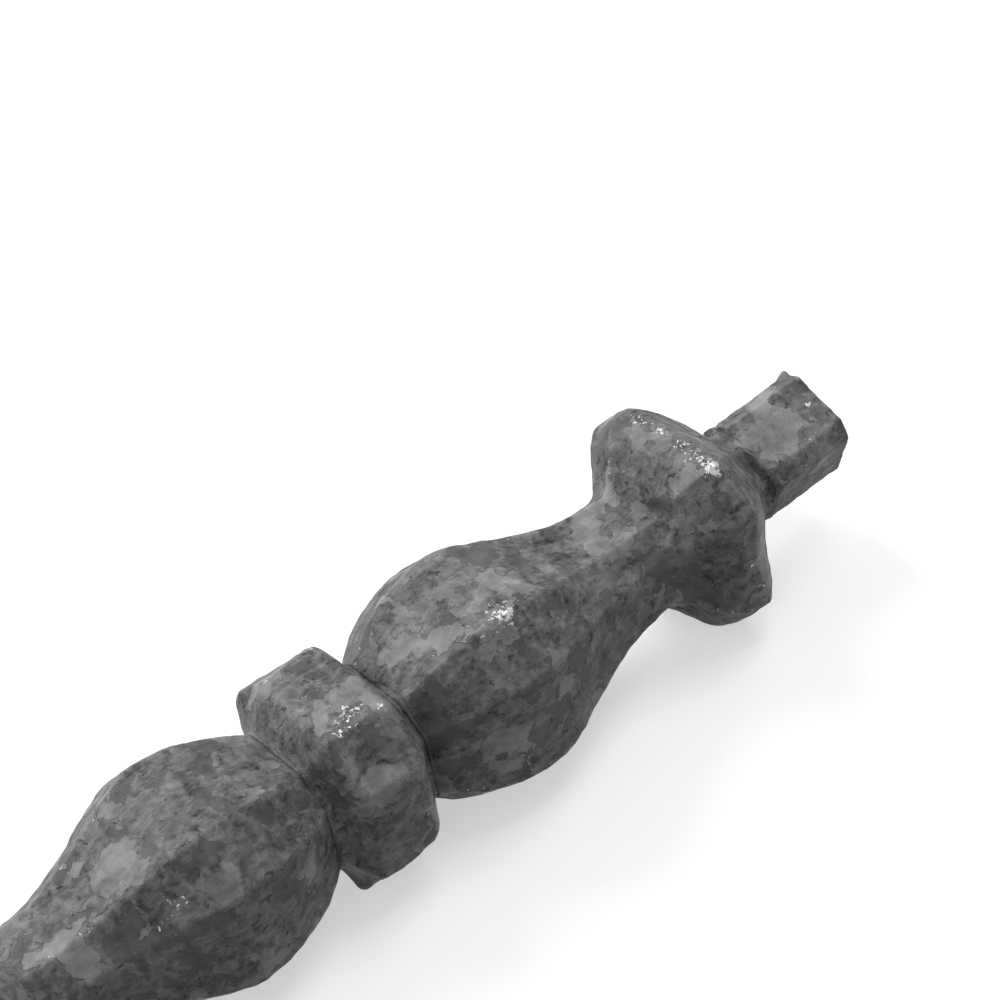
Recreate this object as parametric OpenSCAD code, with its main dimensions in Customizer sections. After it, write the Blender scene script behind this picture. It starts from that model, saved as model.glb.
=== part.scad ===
// Forged railing ornament: the octagonal centre piece of a baluster, drawn out of one bar.
// It lies on its two collars with its axis along X, and its ring stands over the origin.
// Sizes across the flats are taken over the wide facets, one of which faces straight down.

/* [Ring] */
// Ring across the flats
ring_af = 34; // [28:0.2:44]
// Width of the ring between its two edges
ring_w = 9.4; // [5:0.2:24]
// Length of the rounded shoulder from the ring's edge down to the groove
ring_shoulder = 5; // [3:0.1:9]

/* [Grooves] */
// Groove at each side of the ring, across the flats
groove_af = 22.8; // [18:0.2:27]
// Fine bead that stands in the groove at the foot of the bulb, its width
bead_w = 0.8; // [0.4:0.1:1.6]
// Height of the bead over the groove, on the radius
bead_h = 0.45; // [0.1:0.05:1]

/* [Bulbs] */
// Bulb across the flats, at its crest
bulb_af = 35.8; // [28:0.2:46]
// Length from the bead up to the crest
bulb_rise = 20.6; // [10:0.2:30]
// Length from the crest down to the neck
bulb_fall = 32.2; // [18:0.2:50]
// Neck before the collar, across the flats
neck_af = 19.2; // [12:0.2:26]

/* [Collars] */
// Collar across the flats, at its ridge
collar_af = 36; // [30:0.2:50]
// Length of the flare from the neck out to the collar's band
collar_flare = 10; // [4:0.1:16]
// Width of the band
collar_band = 2; // [1:0.2:12]
// How much the band rises on the radius, from the flare to the ridge
band_rise = 0.2; // [0:0.1:1.5]
// Length of the domed front, from the ridge down to the root of the stub
collar_front = 11.4; // [4:0.1:16]

/* [Stubs] */
// Square bar stub across its flats
stub_af = 16; // [12:0.5:22]
// Length of the stub, up to its sheared end
stub_len = 16.7; // [8:0.1:60]
// Turn of the stub about the axis, against the collar
stub_turn = 23; // [-45:1:45]
// Length of the round root between the collar and the stub
root_len = 1.6; // [0.4:0.1:4]
// Depth of the root under the stub's flats
root_depth = 0.6; // [0.2:0.1:1.5]

/* [Facets] */
// Angle from the middle of a wide facet to its arris, seen from the axis, on the ring, bulbs and necks.
// 22.5 is a regular octagon, and 45 would be a sharp square
body_arris_angle = 29; // [23:0.5:32]
// The same angle on the band of the collars
collar_arris_angle = 31; // [23:0.5:38]
// The same angle on the stubs
stub_arris_angle = 33.5; // [23:0.5:38]
// Depth that wear has taken off each arris
arris_wear = 0.2; // [0.05:0.05:0.5]
// Steps along each curved stretch of the outline
steps = 9; // [5:1:14]

/* [Hidden] */
$fn = 96;

ring_r = ring_af / 2;
groove_r = groove_af / 2;
bulb_r = bulb_af / 2;
neck_r = neck_af / 2;
ridge_r = collar_af / 2;
band_r = ridge_r - band_rise;
root_r = stub_af / 2 - root_depth;

// Stations along the axis, counted from the middle of the ring
edge_x = ring_w / 2;
groove_x = edge_x + ring_shoulder;
bead_x = groove_x + bead_w;
crest_x = bead_x + bulb_rise;
neck_x = crest_x + bulb_fall;
band_x = neck_x + collar_flare;
ridge_x = band_x + collar_band;
root_x = ridge_x + collar_front;
stub_x = root_x + root_len;

// Shapes of a stretch: how much of its rise is done at the share t of its length
function wave(t) = (1 - cos(180 * t)) / 2;
function shoulder(t) = wave(pow(t, 1.3));
function dome(t) = 1 - pow(1 - t, 2.3);
function fall(t) = wave(pow(t, 0.73));
function flare(t) = pow(sin(90 * t), 1.65);
function brow(t) = pow(t, 1.35);

// Points of one stretch past its first: [x, radius over the wide facets]
function stretch(x0, r0, x1, r1, shape) =
  [for (s = shape) [x0 + (x1 - x0) * s[0], r0 + (r1 - r0) * s[1]]];
shares = [for (i = [1:steps]) i / steps];

half_outline = concat(
  [[edge_x, ring_r]],
  stretch(edge_x, ring_r, groove_x, groove_r, [for (t = shares) [t, shoulder(t)]]),
  [for (a = [45:45:135]) [groove_x + bead_w * (1 - cos(a)) / 2, groove_r + bead_h * sin(a)]],
  [[bead_x, groove_r]],
  stretch(bead_x, groove_r, crest_x, bulb_r, [for (t = shares) [t, dome(t)]]),
  stretch(crest_x, bulb_r, neck_x, neck_r, [for (t = shares) [t, fall(t)]]),
  stretch(neck_x, neck_r, band_x, band_r, [for (t = shares) [t, flare(t)]]),
  [[ridge_x, ridge_r]],
  stretch(ridge_x, ridge_r, root_x, root_r, [for (t = shares) [t, brow(t)]])
);

// The wide facets are wider on the collars: they widen along the flare, and narrow again down the
// domed front until its foot is a regular octagon round the root
octagon_angle = 180 / 8;
function share_of(x, x0, x1) = min(1, max(0, (x - x0) / (x1 - x0)));
function arris_angle(x) =
  body_arris_angle
  + (collar_arris_angle - body_arris_angle) * share_of(x, neck_x, band_x)
  + (octagon_angle - collar_arris_angle) * share_of(x, ridge_x, root_x);

// Over the radius of the wide facets: how far out the narrow facets stand, and the arrises
function narrow_ratio(angle) = (1 + tan(angle)) / sqrt(2);
function arris_ratio(angle, way) = cos(way) + tan(angle) * sin(way);

narrow_outline = [for (p = half_outline) [p[0], p[1] * narrow_ratio(arris_angle(p[0]))]];
arris_outline = [for (p = half_outline)
  [p[0], p[1] * arris_ratio(arris_angle(p[0]), body_arris_angle) - arris_wear]];
arris_turns = [
  -body_arris_angle, body_arris_angle,
  90 - body_arris_angle, 90 + body_arris_angle
];

// One side of the whole length, from one root to the other
function backwards(line) = [for (i = [len(line) - 1:-1:0]) line[i]];
function both_ends(half) = concat(
  [for (p = backwards(half)) [-p[0], p[1]]],
  half
);

// Bar as wide as its outline in one direction: two opposite facets of the octagon
module facet_pair(half, turn) {
  upper = both_ends(half);
  lower = [for (p = backwards(upper)) [p[0], -p[1]]];
  rotate([turn, 0, 0])
    linear_extrude(height = 3 * max(collar_af, bulb_af, ring_af), center = true)
      polygon(concat(upper, lower));
}

module faceted_body() {
  intersection() {
    facet_pair(half_outline, 0);
    facet_pair(half_outline, 90);
    facet_pair(narrow_outline, 45);
    facet_pair(narrow_outline, -45);
    intersection_for (turn = arris_turns)
      facet_pair(arris_outline, turn);
  }
}

module stub_section() {
  intersection() {
    square(stub_af, center = true);
    rotate(45)
      square(stub_af * narrow_ratio(stub_arris_angle), center = true);
    circle(r = stub_af / 2 * arris_ratio(stub_arris_angle, stub_arris_angle) - arris_wear);
  }
}

module stub() {
  translate([stub_x, 0, 0])
    rotate([stub_turn, 0, 0])
      rotate([0, 90, 0])
        linear_extrude(height = stub_len)
          stub_section();
}

module roots() {
  rotate([0, 90, 0])
    cylinder(r = root_r, h = 2 * (stub_x + stub_len / 2), center = true);
}

module forged_baluster() {
  color("dimgray")
    translate([0, 0, max(ridge_r, bulb_r, ring_r)]) {
      faceted_body();
      roots();
      stub();
      mirror([1, 0, 0])
        stub();
    }
}

forged_baluster();
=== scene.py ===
"""Forged railing ornament: the octagonal centre piece of a baluster, with its forge scale and wear.

The piece lies on its two collars, its axis along X and its ring over the origin.
"""

import math

import bmesh
import bpy
import numpy as np
from mathutils import Matrix, Vector


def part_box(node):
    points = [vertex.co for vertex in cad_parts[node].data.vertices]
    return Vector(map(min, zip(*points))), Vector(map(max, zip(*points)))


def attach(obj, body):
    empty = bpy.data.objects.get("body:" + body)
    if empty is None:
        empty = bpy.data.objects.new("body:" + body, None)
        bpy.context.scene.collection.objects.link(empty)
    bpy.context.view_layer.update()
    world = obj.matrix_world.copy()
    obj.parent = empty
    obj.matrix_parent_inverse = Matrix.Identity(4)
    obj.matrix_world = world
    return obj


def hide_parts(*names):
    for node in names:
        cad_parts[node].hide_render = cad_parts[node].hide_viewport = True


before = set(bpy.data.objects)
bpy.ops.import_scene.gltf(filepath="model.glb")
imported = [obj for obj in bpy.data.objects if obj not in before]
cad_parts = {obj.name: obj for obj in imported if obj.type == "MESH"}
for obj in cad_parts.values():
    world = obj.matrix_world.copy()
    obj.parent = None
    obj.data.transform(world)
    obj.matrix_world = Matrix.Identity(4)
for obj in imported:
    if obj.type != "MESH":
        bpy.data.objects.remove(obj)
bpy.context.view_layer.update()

bl_info = {
    "name": "Forged railing ornament",
    "version": (1, 0, 0),
    "blender": (4, 5, 0),
    "location": "3D View > Sidebar > Forge",
    "description": "Forges an octagonal baluster centre from square bar and lays it out in a studio",
    "category": "Add Mesh",
}

CAD_NODE = "forged_baluster"
# Upper corner of the solid's box, which gives the piece its length and its height over the floor
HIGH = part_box(CAD_NODE)[1]
PIECE = "baluster"
MILLIMETRE = 0.001
SAME_PLACE = 1e-5

# Angle from the middle of a regular octagon's facet to its arris, seen from the axis
OCTAGON = math.tau / 16
# Crosswise edges that take up less than this, seen from the axis, are worn arrises and stay whole
NARROWEST_FACET = math.radians(11)
# Edges that bend less than this are shaded smooth
SMOOTH_BEND = math.radians(17)

# Powers of the curves that the outline follows
SHOULDER_POWER = 1.3
DOME_POWER = 2.3
FALL_POWER = 0.73
FLARE_POWER = 1.65
BROW_POWER = 1.35
# The domed front heads for this much of its drop, and from the second share of it turns into the root
BROW_STEEPNESS = 1.12
BROW_TURN = 0.86

# How finely the mesh follows the bead, the worn arrises, the worn rim and the sheared end
BEAD_SECTIONS = 6
ARRIS_SEGMENTS = 3
RIM_ANGLES = (math.pi / 6, math.pi / 3)
END_RINGS = 9

# Reach of the wear from an arris or a ridge, and its strength there
WEAR_REACH = 0.0009
ARRIS_WEAR = 0.75
RIDGE_WEAR = 0.6

# Places where rubbing has brought out the steel: (station along the axis in mm, angle round it from +Z
# to -Y in degrees, size in mm, amount)
RUBBED = (
    (30.3, 29, 2.2, 1.1),
    (24.9, 31, 1.3, 0.7),
    (23.9, 108, 1.6, 0.7),
    (26.0, 61, 1.6, 0.5),
    (0.4, 19, 2.6, 1.0),
    (-2.9, 28, 1.6, 0.8),
    (74.4, -22, 1.6, 0.7),
    (74.9, -6, 1.8, 0.9),
    (75.0, 9, 1.9, 0.9),
    (75.0, 21, 2.0, 0.9),
    (74.7, 32, 1.7, 0.9),
    (74.3, 86, 2.0, 0.7),
    (74.7, 106, 1.8, 0.6),
    (102.3, 18, 1.6, 0.9),
    (98.0, 52, 1.6, 0.8),
    (-39.6, 48, 2.2, 0.6),
    (-43.5, 56, 1.8, 0.6),
)
# Pale plates of scale in the same way, with a negative amount where a plate has come away; a few rows are
# painted light and painted shade, marked below
PLATES_AND_PAINTED_SHADING = (
    (-43.2, 6, 4.5, 1.4),
    (-57.0, 27, 3.6, 1.3),
    (-61.7, 19, 3.0, 1.1),
    (18.3, 10, 3.2, 1.4),
    (13.5, 1, 2.0, 1.3),
    (1.5, 9, 3.6, 1.2),
    (-1.3, 58, 2.2, 1.2),
    (19.3, 88, 2.6, 1.3),
    (55.9, -1, 2.6, 1.1),
    (-49.6, 44, 2.6, -1.4),
    (-55.0, 58, 3.0, 1.0),
    (-60.1, 50, 3.0, -1.1),
    # Painted shade: darkens the foot of the far bulb in the crease beside the groove
    (12.6, 50, 3.4, -1.3),
    (12.2, 66, 3.0, -1.4),
    (15.2, 91, 2.5, -1.2),
    (-13.5, 83, 3.0, -1.1),
    (33.7, 91, 1.7, -1.6),
    (19.8, 98, 1.4, -1.4),
    (99.0, -3, 1.4, -1.4),
    # Painted light: lightens the stub's top facet, where the light falls
    (96.5, 14, 6.0, 1.7),
    # Painted shade on the lower facet of the collar's flare
    (68.0, 92, 4.0, -0.8),
)
# Pulls that hammer and shear have left: (station, angle in degrees, reach, move along X, move outwards),
# with all lengths in mm. The last one is the burr on the sheared end
PULLS = (
    (63.3, 29, 6.0, 2.2, 0.0),
    (63.3, 61, 6.0, -3.4, 0.0),
    (75.3, 61, 9.0, 1.0, 0.0),
    (75.3, 119, 9.0, 1.6, -0.6),
    (74.5, 155, 6.0, 1.2, -0.6),
    (4.7, 125, 5.0, -0.9, -0.9),
    (-4.7, 152, 5.0, -0.8, 0.5),
    (-4.7, -50, 5.0, -1.2, 0.3),
    (83.0, 133, 7.0, 0.0, -1.5),
    (81.5, 108, 7.0, 0.0, -0.6),
    (87.4, -14, 3.2, 0.0, 0.8),
    (87.4, 20, 3.2, 0.0, 0.8),
    (87.4, 54, 3.0, 0.0, 0.6),
    (104.9, -42, 3.0, 0.4, 1.1),
)

# Grain of each pattern in the scale, in mm
PLATE_GRAIN = 6.5
GAP_GRAIN = 6.0
FLAKE_GRAIN = 2.6
CHIP_GRAIN = 1.2
LUMP_GRAIN = 1.6
STREAK_GRAIN = 0.8
FINE_GRAIN = 0.35
CLOUD_GRAIN = 11.0
MOTTLE_GRAIN = 3.6
PIT_GRAIN = 1.9
WEAR_GRAIN = 11.0
FLECK_GRAIN = 0.8
# Size and amount of the swirls, in mm, that give the plates their lobes and the flecks their raggedness
WIDE_LOBES = (2.4, 1.5)
FINE_LOBES = (0.7, 0.35)
FLECK_LOBES = (1.0, 0.5)
# Levels of the noise between which each pattern sets in
PLATE_EDGE = (0.585, 0.600)
GAP_EDGE = (0.575, 0.590)
FLAKE_EDGE = (0.48, 0.54)
CHIP_EDGE = (0.52, 0.60)
PIT_EDGE = (0.62, 0.68)
WEAR_EDGE = (0.50, 0.66)
FLECK_EDGE = (0.715, 0.76)
# How far the marks above move those levels, painted light and shade included, and how smooth plates and
# gaps are
PLATE_AND_PAINTED_SHADING_MARK = 0.12
RUB_MARK = 0.22
PLATE_SMOOTHNESS = 0.65
# Streaks are drawn out four times along the bar
DRAWN_OUT = (0.25, 1.0, 1.0)
MIDDLE_GREY = (0.5, 0.5, 0.5)

# The camera's view in pixels of the photo, its sensor's width in mm, and the nearest that it sees in metres
RING_PIXEL = Vector((340.0, 767.0))
PHOTO_MIDDLE = Vector((500.0, 500.0))
FOCAL_PIXELS = 3914.0
PHOTO_PIXELS = 1000.0
SENSOR_WIDTH = 36.0
NEAREST_SEEN = 0.01

# Soft lamps round the piece: the angles that they stand at in degrees, distance and size in metres
LAMPS = (
    dict(name="back lamp", azimuth=180, elevation=40, distance=1.5, size=0.8, watts=14),
    dict(name="low back lamp", azimuth=210, elevation=15, distance=1.5, size=0.8, watts=6),
    dict(name="right lamp", azimuth=90, elevation=65, distance=1.5, size=0.8, watts=7),
)
WHITE = (1.0, 1.0, 1.0, 1.0)


def length(name, description, default):
    return bpy.props.FloatProperty(
        name=name, description=description, default=default, min=0.0, subtype="DISTANCE", unit="LENGTH"
    )


def angle(name, description, degrees):
    return bpy.props.FloatProperty(
        name=name, description=description, default=math.radians(degrees), subtype="ANGLE"
    )


def grey(name, description, value):
    return bpy.props.FloatVectorProperty(
        name=name, description=description, default=(value, value, value), min=0.0, max=1.0, subtype="COLOR"
    )


class BalusterSizes(bpy.types.PropertyGroup):
    """Sizes of the forged piece; across means over the wide facets."""

    half_length: length("Half length", "From the middle of the ring to a stub's end", HIGH.x)
    ring_across: length("Ring", "Ring across the flats", 0.034)
    ring_width: length("Ring width", "Width of the ring between its edges", 0.0094)
    ring_shoulder: length("Ring shoulder", "Length from the ring's edge to the groove", 0.005)
    groove_across: length("Groove", "Groove beside the ring, across the flats", 0.0228)
    bead_width: length("Bead width", "Fine bead at the foot of the bulb", 0.0008)
    bead_height: length("Bead height", "How far the bead stands out", 0.00045)
    bulb_across: length("Bulb", "Bulb across the flats, at its crest", 0.0358)
    bulb_rise: length("Bulb rise", "Length from the bead to the crest", 0.0206)
    bulb_fall: length("Bulb fall", "Length from the crest to the neck", 0.0322)
    neck_across: length("Neck", "Neck across the flats", 0.0192)
    collar_across: length("Collar", "Collar across the flats, at its ridge", HIGH.z)
    collar_flare: length("Flare", "Length from the neck to the collar's band", 0.01)
    collar_band: length("Band", "Width of the collar's band", 0.002)
    band_rise: length("Band rise", "Rise of the band up to the ridge", 0.0002)
    collar_front: length("Front", "Length of the domed front of the collar", 0.0114)
    root_depth: length("Root depth", "Depth of the root under the stub's flats", 0.0003)
    root_length: length("Root length", "Length of the root between collar and stub", 0.0016)
    stub_length: length("Stub length", "Length of the stub up to its sheared end", 0.0167)
    stub_across: length("Stub", "Square bar stub across its flats", 0.016)
    stub_turn: angle("Stub turn", "Turn of the stub against the collar", 23.0)
    body_arris: angle("Body arris", "Angle from a wide facet to its arris on the body", 29.0)
    collar_arris: angle("Collar arris", "The same angle on the collar's band", 31.0)
    stub_arris: angle("Stub arris", "The same angle on the stub", 33.5)
    end_wear: length("End wear", "Round that wear has left round the sheared end", 0.0004)
    arris_width: length("Arris width", "Width of the worn round on each side of an arris", 0.0003)
    station_step: length("Station step", "Distance between the sections of the mesh", 0.00055)
    facet_cuts: bpy.props.IntProperty(
        name="Facet cuts", description="Cuts that divide each facet lengthwise", default=20, min=1, max=24
    )


class ForgeMarks(bpy.types.PropertyGroup):
    """What the hammer has left on the shape."""

    ring_lean: angle("Ring lean", "Lean of the ring, its upper back edge towards +X", 1.5)
    bow: length("Bow", "Height of the slow waves in the facets", 0.0009)
    bow_grain: length("Bow grain", "Size of the slow waves in the facets", 0.019)
    dents: length("Dents", "Depth of the hammer dents", 0.0007)
    dent_grain: length("Dent grain", "Size of the hammer dents", 0.0062)
    lumps: length("Lumps", "Height of the lumps of scale", 0.00028)
    lump_grain: length("Lump grain", "Size of the lumps of scale", 0.0021)


class FinishColours(bpy.types.PropertyGroup):
    """Greys of the forge scale, and the depth of its relief."""

    scale: grey("Scale", "Forge scale that covers most of the steel", 0.140)
    # Pale plates also carry the painted light on the stub's top facet
    pale_plate_and_painted_light: grey("Pale plate", "Thin plates of scale with a satin sheen", 0.200)
    # Dark plates also carry the painted shade beside the groove and on the flare
    dark_plate_and_painted_shade: grey("Dark plate", "Places where a plate of scale has come away", 0.105)
    pit: grey("Pit", "Pits and grooves where soot and rolled-in scale stay", 0.035)
    bare_steel: grey("Bare steel", "Flecks where rubbing has brought out the steel", 0.62)
    relief: length("Relief", "Height of the plates and lumps of scale", 0.00007)


class StageSettings(bpy.types.PropertyGroup):
    """Where the studio camera stands and how bright the studio is."""

    azimuth: angle("Azimuth", "Compass angle that the camera looks from", -31.58)
    elevation: angle("Elevation", "Angle of the camera above the floor", 42.71)
    roll: angle("Roll", "Turn of the camera about its own line of sight", -12.84)
    depth: length("Depth", "Distance of the ring in front of the camera", 0.6263)
    floor_size: length("Floor size", "Side of the floor", 6.0)
    floor_seen: grey("Floor", "Floor as the camera sees it", 0.6)
    floor_lift: grey("Floor lift", "Light added to the floor that the camera sees", 0.5)
    floor_bounce: grey("Floor bounce", "Floor as it throws light back at the piece", 0.24)
    world_light: bpy.props.FloatProperty(
        name="World light", description="Strength of the even light from all round", default=0.52, min=0.0
    )


# Curves of the outline: how much of its rise or fall a stretch has made at the share t of its length


def wave(t):
    return (1 - math.cos(math.pi * t)) / 2


def shoulder(t):
    return wave(t**SHOULDER_POWER)


def dome(t):
    return 1 - (1 - t) ** DOME_POWER


def fall(t):
    return wave(t**FALL_POWER)


def flare(t):
    return math.sin(math.pi / 2 * t) ** FLARE_POWER


def brow(t):
    """Falls ever steeper, and turns softly into the root at the foot."""
    steep = BROW_STEEPNESS * t**BROW_POWER
    if steep < BROW_TURN:
        return steep
    left = 1 - BROW_TURN
    turned = math.tanh((steep - BROW_TURN) / left)
    return BROW_TURN + left * turned / math.tanh((BROW_STEEPNESS - BROW_TURN) / left)


def straight(t):
    return t


def stations(sizes):
    """Sections of one half, from the ring outwards: (x, radius over the wide facets, arris angle, turn)."""
    stub_r = sizes.stub_across / 2
    root_r = stub_r - sizes.root_depth
    groove_r = sizes.groove_across / 2
    body, collar = sizes.body_arris, sizes.collar_arris
    rows = [(0.0, sizes.ring_across / 2, body, 0.0)]

    def run(dx, radius, arris, shape=straight, turn=None, bulge=0.0, least=1):
        x0, r0, arris0, turn0 = rows[-1]
        turn = turn0 if turn is None else turn
        count = max(least, math.ceil(math.hypot(dx, radius - r0) / sizes.station_step))
        for i in range(1, count + 1):
            t = i / count
            rows.append(
                (
                    x0 + dx * t,
                    r0 + (radius - r0) * shape(t) + bulge * math.sin(math.pi * t),
                    arris0 + (arris - arris0) * t,
                    turn0 + (turn - turn0) * t,
                )
            )

    run(sizes.ring_width / 2, sizes.ring_across / 2, body)
    run(sizes.ring_shoulder, groove_r, body, shoulder)
    run(sizes.bead_width, groove_r, body, bulge=sizes.bead_height, least=BEAD_SECTIONS)
    run(sizes.bulb_rise, sizes.bulb_across / 2, body, dome)
    run(sizes.bulb_fall, sizes.neck_across / 2, body, fall)
    run(sizes.collar_flare, sizes.collar_across / 2 - sizes.band_rise, collar, flare)
    run(sizes.collar_band, sizes.collar_across / 2, collar)
    run(sizes.collar_front, root_r, OCTAGON, brow)
    # The arrises move before the turn, because they are moved along Y and Z
    run(sizes.root_length / 2, root_r, sizes.stub_arris)
    run(sizes.root_length / 2, root_r, sizes.stub_arris, turn=sizes.stub_turn)
    run(sizes.root_length / 2, stub_r, sizes.stub_arris)
    run(sizes.half_length - rows[-1][0], stub_r, sizes.stub_arris)
    return rows


def section_at(sizes, x):
    """Radius over the wide facets, arris angle and turn at each place along the axis."""
    rows = np.array(stations(sizes))
    return [np.interp(np.abs(x), rows[:, 0], rows[:, i]) for i in (1, 2, 3)]


def ridge_stations(sizes):
    """Stations of the sharp edges that run round the piece: on the ring, the collar and the sheared end."""
    edge = sizes.ring_width / 2
    ridge = sizes.half_length - sizes.stub_length - sizes.root_length - sizes.collar_front
    return edge, ridge, sizes.half_length


def select_where(test, kind="verts"):
    """Selects the vertices, edges or faces of the mesh in edit mode that pass the test."""
    mesh = bmesh.from_edit_mesh(bpy.context.edit_object.data)
    for elements in (mesh.verts, mesh.edges, mesh.faces):
        for element in elements:
            element.select = False
    for element in getattr(mesh, kind):
        if test(element):
            element.select_set(True)
    bmesh.update_edit_mesh(bpy.context.edit_object.data, loop_triangles=False, destructive=False)


def at_station(element, x):
    """Whether an edge lies in the section at x."""
    return all(abs(v.co.x - x) < SAME_PLACE for v in element.verts)


def crosswise(edge):
    return abs(edge.verts[0].co.x - edge.verts[1].co.x) < SAME_PLACE


def seen_from_axis(edge, axis_z):
    """Angle that a crosswise edge takes up, seen from the axis."""
    a, b = (Vector((v.co.y, v.co.z - axis_z)) for v in edge.verts)
    return a.angle(b)


def draw_out(rows, axis_z):
    """Draws the selected outline out along the stations, as the smith draws out the bar."""
    for (x0, r0, arris0, turn0), (x, r, arris, turn) in zip(rows, rows[1:]):
        centre = (x, 0, axis_z)
        bpy.ops.mesh.extrude_region_move(TRANSFORM_OT_translate={"value": (x - x0, 0, 0)})
        bpy.ops.transform.resize(value=(1, r / r0, r / r0), center_override=centre)
        if turn != turn0:
            bpy.ops.transform.rotate(
                value=turn0 - turn, orient_axis="X", orient_type="GLOBAL", center_override=centre
            )
        if arris != arris0:
            across = math.tan(arris) / math.tan(arris0)
            for tall, factors in ((True, (1, across, 1)), (False, (1, 1, across))):
                select_where(
                    lambda v, tall=tall: abs(v.co.x - x) < SAME_PLACE
                    and (abs(v.co.z - axis_z) > abs(v.co.y)) == tall
                )
                bpy.ops.transform.resize(value=factors, center_override=centre)
            select_where(lambda edge: at_station(edge, x), "edges")


def close_end(sizes, axis_z):
    """Closes the sheared end with a worn rim and rings of faces that carry the shear marks."""
    end_x = sizes.half_length
    select_where(lambda edge: edge.is_boundary and at_station(edge, end_x), "edges")
    rim = sizes.end_wear
    radius = sizes.stub_across / 2
    x = end_x - rim
    bpy.ops.transform.translate(value=(-rim, 0, 0))
    rings = [(rim * math.sin(t), radius - rim * (1 - math.cos(t))) for t in RIM_ANGLES]
    flat = radius - rim
    rings += [(rim, flat * share / END_RINGS) for share in range(END_RINGS, 0, -1)]
    for dx, r in rings:
        bpy.ops.mesh.extrude_region_move(
            TRANSFORM_OT_translate={"value": (end_x - rim + dx - x, 0, 0)}
        )
        bpy.ops.transform.resize(
            value=(1, r / radius, r / radius), center_override=(end_x - rim + dx, 0, axis_z)
        )
        x, radius = end_x - rim + dx, r
    bpy.ops.mesh.extrude_region_move(TRANSFORM_OT_translate={"value": (0, 0, 0)})
    bpy.ops.mesh.merge(type="CENTER")


def forge_half(sizes):
    """Models the half from the middle of the ring to the sheared end, out of a square outline."""
    rows = stations(sizes)
    axis_z = sizes.collar_across / 2
    radius = rows[0][1]
    bpy.ops.object.select_all(action="DESELECT")
    bpy.ops.mesh.primitive_plane_add(
        size=2 * radius, location=(0, 0, axis_z), rotation=(0, math.pi / 2, 0)
    )
    piece = bpy.context.object
    piece.name = piece.data.name = PIECE
    bpy.ops.object.transform_apply(location=True, rotation=True, scale=True)
    bpy.ops.object.mode_set(mode="EDIT")
    # The corners of the square are cut back to the arrises of the octagon
    bpy.ops.mesh.select_all(action="SELECT")
    bpy.ops.mesh.bevel(offset=radius * (1 - math.tan(sizes.body_arris)), affect="VERTICES")
    bpy.ops.mesh.delete(type="ONLY_FACE")
    bpy.ops.mesh.select_all(action="SELECT")
    draw_out(rows, axis_z)
    # The arrises are worn round, and the facets divided for the hammer to work on
    select_where(lambda edge: not crosswise(edge), "edges")
    bpy.ops.mesh.bevel(offset=sizes.arris_width, segments=ARRIS_SEGMENTS, affect="EDGES")
    select_where(
        lambda edge: crosswise(edge) and seen_from_axis(edge, axis_z) > NARROWEST_FACET, "edges"
    )
    bpy.ops.mesh.subdivide(number_cuts=sizes.facet_cuts)
    close_end(sizes, axis_z)
    bpy.ops.object.mode_set(mode="OBJECT")
    return piece


def apply_modifier(piece, kind, **settings):
    modifier = piece.modifiers.new(kind.title(), kind)
    for name, value in settings.items():
        setattr(modifier, name, value)
    bpy.context.view_layer.objects.active = piece
    bpy.ops.object.modifier_apply(modifier=modifier.name)


def mark_surface(piece, sizes):
    """Writes where the edges are worn, where plates of scale sit or have come away, and where light and
    shade are painted.
    """
    mesh = piece.data
    place = np.empty(len(mesh.vertices) * 3)
    mesh.vertices.foreach_get("co", place)
    x, y, z = place.reshape(-1, 3).T
    radius, arris, turn = section_at(sizes, x)
    round_angle = np.arctan2(-y, z - sizes.collar_across / 2)
    corner = np.pi / 4 - np.abs((round_angle - turn) % (np.pi / 2) - np.pi / 4)
    to_arris = np.abs(corner - arris) * radius
    to_ridge = np.min([np.abs(np.abs(x) - ridge) for ridge in ridge_stations(sizes)], axis=0)
    worn = ARRIS_WEAR * np.exp(-((to_arris / WEAR_REACH) ** 2))
    worn = worn + RIDGE_WEAR * np.exp(-((to_ridge / WEAR_REACH) ** 2))

    def spots(marks):
        total = np.zeros(len(x))
        for station, degrees, size, amount in marks:
            off = (round_angle - math.radians(degrees) + np.pi) % (2 * np.pi) - np.pi
            distance = np.hypot(x - station * MILLIMETRE, off * radius) / (size * MILLIMETRE)
            total += amount * np.exp(-(distance**2))
        return total

    for name, values in (("wear", worn), ("rubbed", spots(RUBBED)), ("plates", spots(PLATES_AND_PAINTED_SHADING))):
        mesh.attributes.new(name, "FLOAT", "POINT").data.foreach_set("value", values)


def lean_ring(piece, sizes, amount):
    """Leans the ring over, and less and less of the grooves beside it."""
    bpy.context.view_layer.objects.active = piece
    bpy.ops.object.mode_set(mode="EDIT")
    select_where(lambda v: abs(v.co.x) < sizes.ring_width / 2 + SAME_PLACE)
    for axis, share in (("Y", -math.sqrt(0.5)), ("Z", math.sqrt(0.5))):
        bpy.ops.transform.rotate(
            value=share * amount,
            orient_axis=axis,
            orient_type="GLOBAL",
            center_override=(0, 0, sizes.collar_across / 2),
            use_proportional_edit=True,
            proportional_edit_falloff="SMOOTH",
            proportional_size=sizes.ring_shoulder,
        )
    bpy.ops.object.mode_set(mode="OBJECT")


def surface_place(sizes, station, way):
    """Place on the surface at a station, and at an angle round the axis from +Z to -Y."""
    radius, arris, turn = (float(value) for value in section_at(sizes, station * MILLIMETRE))
    corner = (way - turn + math.pi / 4) % (math.pi / 2) - math.pi / 4
    narrow = radius * (1 + math.tan(arris)) / math.sqrt(2)
    reach = min(radius / math.cos(corner), narrow / math.cos(math.pi / 4 - abs(corner)))
    return Vector(
        (station * MILLIMETRE, -reach * math.sin(way), reach * math.cos(way) + sizes.collar_across / 2)
    )


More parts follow.
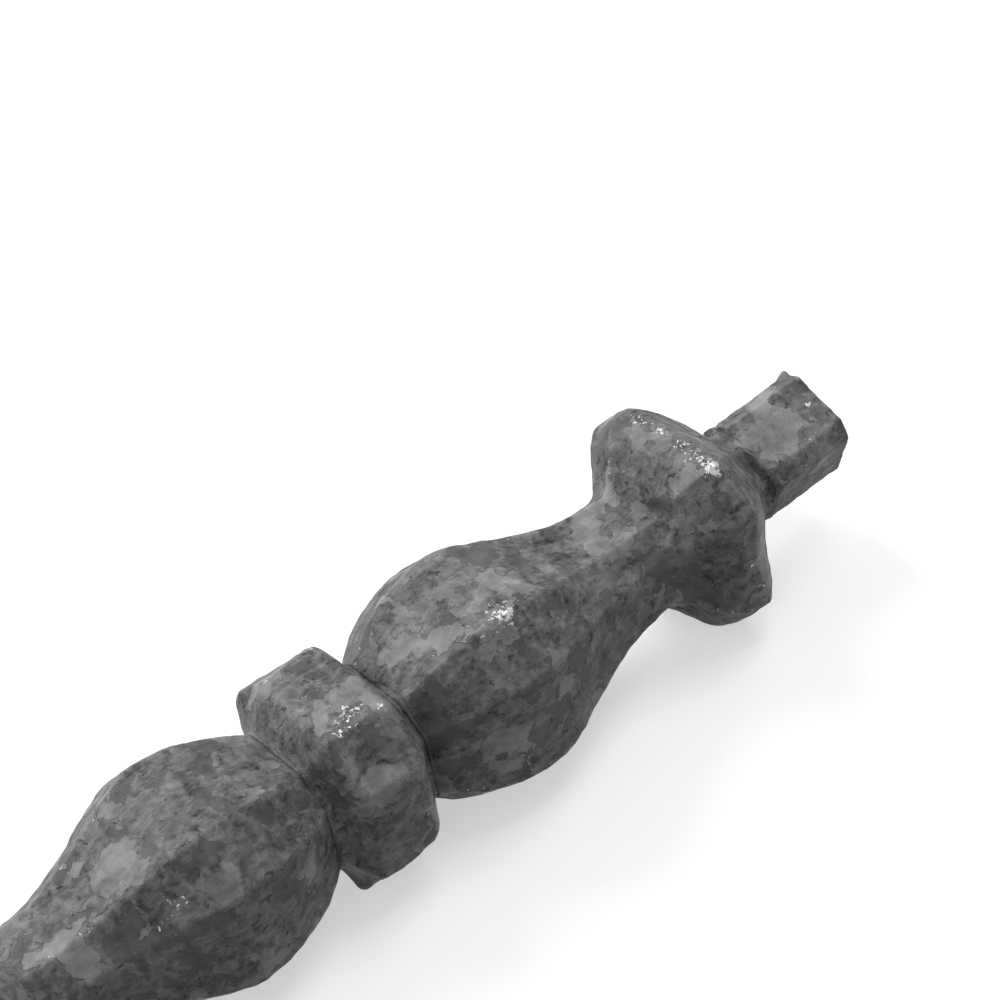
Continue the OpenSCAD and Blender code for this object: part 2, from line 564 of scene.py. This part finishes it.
def pull(piece, sizes, station, degrees, reach, along, outwards):
    """Pulls the surface at one place, and less and less of it out to the reach; all in millimetres."""
    way = math.radians(degrees)
    place = surface_place(sizes, station, way)
    bpy.context.view_layer.objects.active = piece
    bpy.ops.object.mode_set(mode="EDIT")
    mesh = bmesh.from_edit_mesh(piece.data)
    nearest = min(mesh.verts, key=lambda v: (v.co - place).length_squared).index
    select_where(lambda v: v.index == nearest)
    move = Vector((along, -outwards * math.sin(way), outwards * math.cos(way))) * MILLIMETRE
    bpy.ops.transform.translate(
        value=move,
        use_proportional_edit=True,
        proportional_edit_falloff="SMOOTH",
        proportional_size=reach * MILLIMETRE,
    )
    bpy.ops.object.mode_set(mode="OBJECT")


def beat(piece, height, grain, layers):
    """Beats an uneven pattern of the given height and grain into the surface."""
    texture = bpy.data.textures.new("clouds", "CLOUDS")
    texture.noise_scale = grain
    texture.noise_depth = layers
    apply_modifier(
        piece, "DISPLACE", texture=texture, texture_coords="LOCAL", strength=height, mid_level=0.5
    )


class Signal:
    """A socket of a finish, so that shader maths reads as plain expressions."""

    def __init__(self, finish, socket):
        self.finish, self.socket = finish, socket

    def math(self, operation, *values):
        return self.finish.node("ShaderNodeMath", {"operation": operation}, dict(enumerate(values)))

    def __add__(self, other):
        return self.math("ADD", self, other)

    def __sub__(self, other):
        return self.math("SUBTRACT", self, other)

    def __rsub__(self, other):
        return self.math("SUBTRACT", other, self)

    def __mul__(self, other):
        return self.math("MULTIPLY", self, other)

    __radd__ = __add__
    __rmul__ = __mul__


class Finish:
    """A material or a world that is built up from nodes, with its lengths in millimetres."""

    def __init__(self, owner):
        self.owner = owner
        owner.use_nodes = True
        self.tree = owner.node_tree
        self.tree.nodes.clear()

    def node(self, kind, settings=None, values=None, output=0):
        """Adds a node: its settings come first, then the values or links of its sockets."""
        node = self.tree.nodes.new(kind)
        for name, value in (settings or {}).items():
            setattr(node, name, value)
        for key, value in (values or {}).items():
            if isinstance(value, Signal):
                self.tree.links.new(value.socket, node.inputs[key])
            else:
                node.inputs[key].default_value = value
        return Signal(self, node.outputs[output]) if node.outputs else None

    def vector(self, operation, first, second):
        return self.node("ShaderNodeVectorMath", {"operation": operation}, {0: first, 1: second})

    def scaled(self, vector, factor):
        """The place or colour, times a number that may vary over the surface."""
        return self.node("ShaderNodeVectorMath", {"operation": "SCALE"}, {0: vector, "Scale": factor})

    def place(self):
        return self.scaled(self.node("ShaderNodeTexCoord", output="Object"), 1 / MILLIMETRE)

    def moved(self, place, by):
        """The place, moved on so that two patterns don't line up."""
        return self.vector("ADD", place, by)

    def warped(self, place, size, amount):
        """The place, shifted to and fro by up to about half the amount."""
        values = {"Vector": place, "Scale": 1 / size, "Detail": 2.0}
        drift = self.node("ShaderNodeTexNoise", values=values, output="Color")
        drift = self.vector("SUBTRACT", drift, MIDDLE_GREY)
        return self.vector("ADD", place, self.scaled(drift, 2 * amount))

    def noise(self, place, size, detail=2.0, roughness=0.5):
        values = {"Vector": place, "Scale": 1 / size, "Detail": detail, "Roughness": roughness}
        return self.node("ShaderNodeTexNoise", values=values)

    def above(self, signal, low, high):
        """A mask that rises from 0 at the low value to 1 at the high one."""
        return self.node(
            "ShaderNodeMapRange",
            {"interpolation_type": "SMOOTHSTEP"},
            {"Value": signal, "From Min": low, "From Max": high},
        )

    def attribute(self, name):
        return self.node("ShaderNodeAttribute", {"attribute_name": name}, output="Fac")

    def mix(self, factor, first, second):
        """Mixes two colours, by their numbered sockets because those of numbers have the same names."""
        return self.node(
            "ShaderNodeMix",
            {"data_type": "RGBA"},
            {0: factor, 6: opaque(first), 7: opaque(second)},
            output=2,
        )

    def seen(self):
        """1 for what the eye meets straight, in a reflection or through glass, and 0 for other light."""
        camera, glossy, through = (
            self.node("ShaderNodeLightPath", output=f"Is {kind} Ray")
            for kind in ("Camera", "Glossy", "Transmission")
        )
        return camera + glossy + through


def opaque(colour):
    return colour if isinstance(colour, Signal) else (*colour, 1.0)


def forge_scale(colours):
    """Forge scale: satin plates with crisp outlines on lumpy, pitted scale, and flecks of bare steel, with
    painted light on the stub's top facet and painted shade beside the groove and on the flare.
    """
    f = Finish(bpy.data.materials.new("forge scale"))
    place = f.place()
    lobed = f.warped(f.warped(place, *WIDE_LOBES), *FINE_LOBES)
    plates = f.attribute("plates")
    wear = f.attribute("wear")

    # Plates of scale, the gaps that others have left, and how smooth both are; the plate table's painted
    # light turns pale here and its painted shade dark
    pale = f.above(f.noise(lobed, PLATE_GRAIN) + plates * PLATE_AND_PAINTED_SHADING_MARK, *PLATE_EDGE)
    gap_and_painted_shade = f.noise(f.moved(lobed, (40, 7, 90)), GAP_GRAIN) - plates * PLATE_AND_PAINTED_SHADING_MARK
    dark = f.above(gap_and_painted_shade, *GAP_EDGE) * (1 - pale)
    smooth = (pale + dark) * PLATE_SMOOTHNESS

    # Unevenness of the scale between the plates, and of the whole surface
    flakes = f.above(f.noise(f.moved(lobed, (71, 5, 3)), FLAKE_GRAIN), *FLAKE_EDGE)
    chips = f.above(f.noise(f.moved(lobed, (2, 44, 31)), CHIP_GRAIN), *CHIP_EDGE)
    lumps = f.noise(f.moved(place, (5, 60, 2)), LUMP_GRAIN, 3.0, 0.55) - 0.5
    streaks = f.noise(f.vector("MULTIPLY", place, DRAWN_OUT), STREAK_GRAIN, 3.0, 0.6) - 0.5
    grain = f.noise(place, FINE_GRAIN, 2.0, 0.6) - 0.5
    clouds = f.noise(f.moved(place, (9, 3, 70)), CLOUD_GRAIN, 3.0, 0.6) - 0.5
    mottle = f.noise(f.moved(lobed, (14, 6, 22)), MOTTLE_GRAIN, 3.0, 0.6) - 0.5
    pits = f.above(f.noise(f.moved(lobed, (80, 20, 11)), PIT_GRAIN, 3.0, 0.6), *PIT_EDGE) * (1 - smooth)

    # Bright flecks on the rubbed places, and here and there on the worn edges
    worn = wear * f.above(f.noise(place, WEAR_GRAIN, 1.0), *WEAR_EDGE) * 0.6
    bare = f.attribute("rubbed") + worn
    speckle = f.noise(f.warped(f.moved(place, (1, 33, 8)), *FLECK_LOBES), FLECK_GRAIN, 3.0, 0.7)
    flecks = f.above(speckle + bare * RUB_MARK, *FLECK_EDGE)

    # Colour: each pattern makes it lighter or darker by its share
    rough_tone = flakes * 0.28 - 0.14 + chips * 0.16 - 0.05 + lumps * 1.5 + streaks
    # The plate table lightens and darkens the tone too, for the real plates and for the painted light and
    # painted shade
    tone = 0.97 + clouds * 1.1 + mottle * 1.5 + plates * 0.12 + rough_tone * (1 - smooth)
    tone = tone + grain * 0.3 + wear * 0.20
    colour = f.mix(dark, f.mix(pale, colours.scale, colours.pale_plate_and_painted_light), colours.dark_plate_and_painted_shade)
    colour = f.scaled(colour, tone)
    colour = f.mix(pits * 0.6, colour, colours.pit)
    colour = f.mix(flecks * 0.8, colour, colours.bare_steel)

    # Relief: the height of each pattern, in shares of the relief's own
    rough_height = flakes * 0.25 + chips * 0.2 + lumps * 2.2 + streaks * 1.2
    height = pale * 1.1 - dark * 0.9 + rough_height * (1 - smooth) + grain * 0.35
    height = height - pits * 1.6 + flecks * 0.5
    shader = f.node(
        "ShaderNodeBsdfPrincipled",
        values={
            "Base Color": colour,
            "Roughness": 0.52 - pale * 0.08 + pits * 0.3 - flecks * 0.12 + lumps * 0.3,
            "Metallic": flecks * 0.6,
            "Specular IOR Level": 0.1,
            "Normal": f.node("ShaderNodeBump", values={"Distance": colours.relief, "Height": height}),
        },
    )
    f.node("ShaderNodeOutputMaterial", values={"Surface": shader})
    return f.owner


class FORGE_OT_baluster(bpy.types.Operator):
    """Forges the octagonal piece out of a square bar, and covers it with its scale and wear"""

    bl_idname = "forge.baluster"
    bl_label = "Forge the baluster centre"
    bl_options = {"REGISTER", "UNDO"}

    def execute(self, context):
        sizes, marks = context.scene.baluster_sizes, context.scene.forge_marks
        piece = forge_half(sizes)
        apply_modifier(piece, "MIRROR", use_mirror_merge=True, merge_threshold=SAME_PLACE)
        bpy.ops.object.mode_set(mode="EDIT")
        bpy.ops.mesh.select_all(action="SELECT")
        bpy.ops.mesh.normals_make_consistent(inside=False)
        bpy.ops.object.mode_set(mode="OBJECT")
        mark_surface(piece, sizes)
        lean_ring(piece, sizes, marks.ring_lean)
        for mark in PULLS:
            pull(piece, sizes, *mark)
        beat(piece, marks.bow, marks.bow_grain, layers=1)
        beat(piece, marks.dents, marks.dent_grain, layers=2)
        beat(piece, marks.lumps, marks.lump_grain, layers=2)
        bpy.ops.object.shade_smooth_by_angle(angle=SMOOTH_BEND)
        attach(piece, "root")
        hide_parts(CAD_NODE)
        piece.data.materials.append(forge_scale(context.scene.finish_colours))
        return {"FINISHED"}


def out_at(azimuth, elevation):
    """Direction at a compass angle from -Y round to +X, and at an angle above the floor."""
    return Vector(
        (
            math.sin(azimuth) * math.cos(elevation),
            -math.cos(azimuth) * math.cos(elevation),
            math.sin(elevation),
        )
    )


def place_camera(stage, ring):
    """Puts the camera where the photo's outline of the piece is met, with the ring on its pixel."""
    back = out_at(stage.azimuth, stage.elevation)
    level = Vector((math.cos(stage.azimuth), math.sin(stage.azimuth), 0.0))
    right = Matrix.Rotation(stage.roll, 3, back) @ level
    up = back.cross(right)
    offset = (RING_PIXEL - PHOTO_MIDDLE) / FOCAL_PIXELS
    data = bpy.data.cameras.new("camera")
    data.sensor_width = SENSOR_WIDTH
    data.lens = SENSOR_WIDTH * FOCAL_PIXELS / PHOTO_PIXELS
    data.clip_start = NEAREST_SEEN
    camera = bpy.data.objects.new("camera", data)
    bpy.context.scene.collection.objects.link(camera)
    camera.matrix_world = Matrix((right, up, back)).transposed().to_4x4()
    camera.location = ring + stage.depth * (back - offset.x * right + offset.y * up)
    bpy.context.scene.camera = camera


def add_lamp(lamp, aim):
    """Hangs a round soft lamp at its azimuth and elevation, turned towards the aim."""
    data = bpy.data.lights.new(lamp["name"], "AREA")
    data.shape = "DISK"
    data.size = lamp["size"]
    data.energy = lamp["watts"]
    back = out_at(math.radians(lamp["azimuth"]), math.radians(lamp["elevation"]))
    hung = bpy.data.objects.new(lamp["name"], data)
    hung.location = aim + lamp["distance"] * back
    hung.rotation_euler = back.to_track_quat("Z", "Y").to_euler()
    bpy.context.scene.collection.objects.link(hung)


def pale_floor(stage):
    """Floor that shows white to the eye, keeps shadows, and throws little light back at the piece."""
    f = Finish(bpy.data.materials.new("pale floor"))
    matt = f.node("ShaderNodeBsdfDiffuse", values={"Color": opaque(stage.floor_seen)})
    glow = f.node("ShaderNodeEmission", values={"Color": opaque(stage.floor_lift), "Strength": 1.0})
    white = f.node("ShaderNodeAddShader", values={0: matt, 1: glow})
    dull = f.node("ShaderNodeBsdfDiffuse", values={"Color": opaque(stage.floor_bounce)})
    shader = f.node("ShaderNodeMixShader", values={0: f.seen(), 1: dull, 2: white})
    f.node("ShaderNodeOutputMaterial", values={"Surface": shader})
    return f.owner


def studio_world(strength):
    """World that is white to the eye and an even soft light to everything else."""
    f = Finish(bpy.data.worlds.new("studio"))
    level = f.node("ShaderNodeMapRange", values={"Value": f.seen(), "To Min": strength})
    light = f.node("ShaderNodeBackground", values={"Color": WHITE, "Strength": level})
    f.node("ShaderNodeOutputWorld", values={"Surface": light})
    return f.owner


class FORGE_OT_stage(bpy.types.Operator):
    """Lays the pale floor and sets the soft lamps and the camera"""

    bl_idname = "forge.stage"
    bl_label = "Set the studio"
    bl_options = {"REGISTER", "UNDO"}

    def execute(self, context):
        stage = context.scene.stage_settings
        ring = Vector((0, 0, context.scene.baluster_sizes.collar_across / 2))
        bpy.ops.object.select_all(action="DESELECT")
        bpy.ops.mesh.primitive_plane_add(size=stage.floor_size)
        floor = context.object
        floor.name = "floor"
        floor.data.materials.append(pale_floor(stage))
        context.scene.world = studio_world(stage.world_light)
        for lamp in LAMPS:
            add_lamp(lamp, ring)
        place_camera(stage, ring)
        context.scene.view_settings.view_transform = "Standard"
        return {"FINISHED"}


OPERATORS = (FORGE_OT_baluster, FORGE_OT_stage)
GROUPS = {
    "baluster_sizes": BalusterSizes,
    "forge_marks": ForgeMarks,
    "finish_colours": FinishColours,
    "stage_settings": StageSettings,
}


class FORGE_PT_panel(bpy.types.Panel):
    """Lists the steps and the sizes"""

    bl_label = "Forged ornament"
    bl_idname = "FORGE_PT_panel"
    bl_space_type = "VIEW_3D"
    bl_region_type = "UI"
    bl_category = "Forge"

    def draw(self, context):
        for operator in OPERATORS:
            self.layout.operator(operator.bl_idname)
        for group_name in GROUPS:
            group = getattr(context.scene, group_name)
            box = self.layout.box()
            for name in group.bl_rna.properties.keys():
                if name not in ("rna_type", "name"):
                    box.prop(group, name)


CLASSES = (*GROUPS.values(), *OPERATORS, FORGE_PT_panel)


def register():
    for item in CLASSES:
        bpy.utils.register_class(item)
    for name, group in GROUPS.items():
        setattr(bpy.types.Scene, name, bpy.props.PointerProperty(type=group))


def unregister():
    for name in GROUPS:
        delattr(bpy.types.Scene, name)
    for item in reversed(CLASSES):
        bpy.utils.unregister_class(item)


def main():
    register()
    bpy.ops.forge.baluster()
    bpy.ops.forge.stage()


if __name__ == "__main__":
    main()
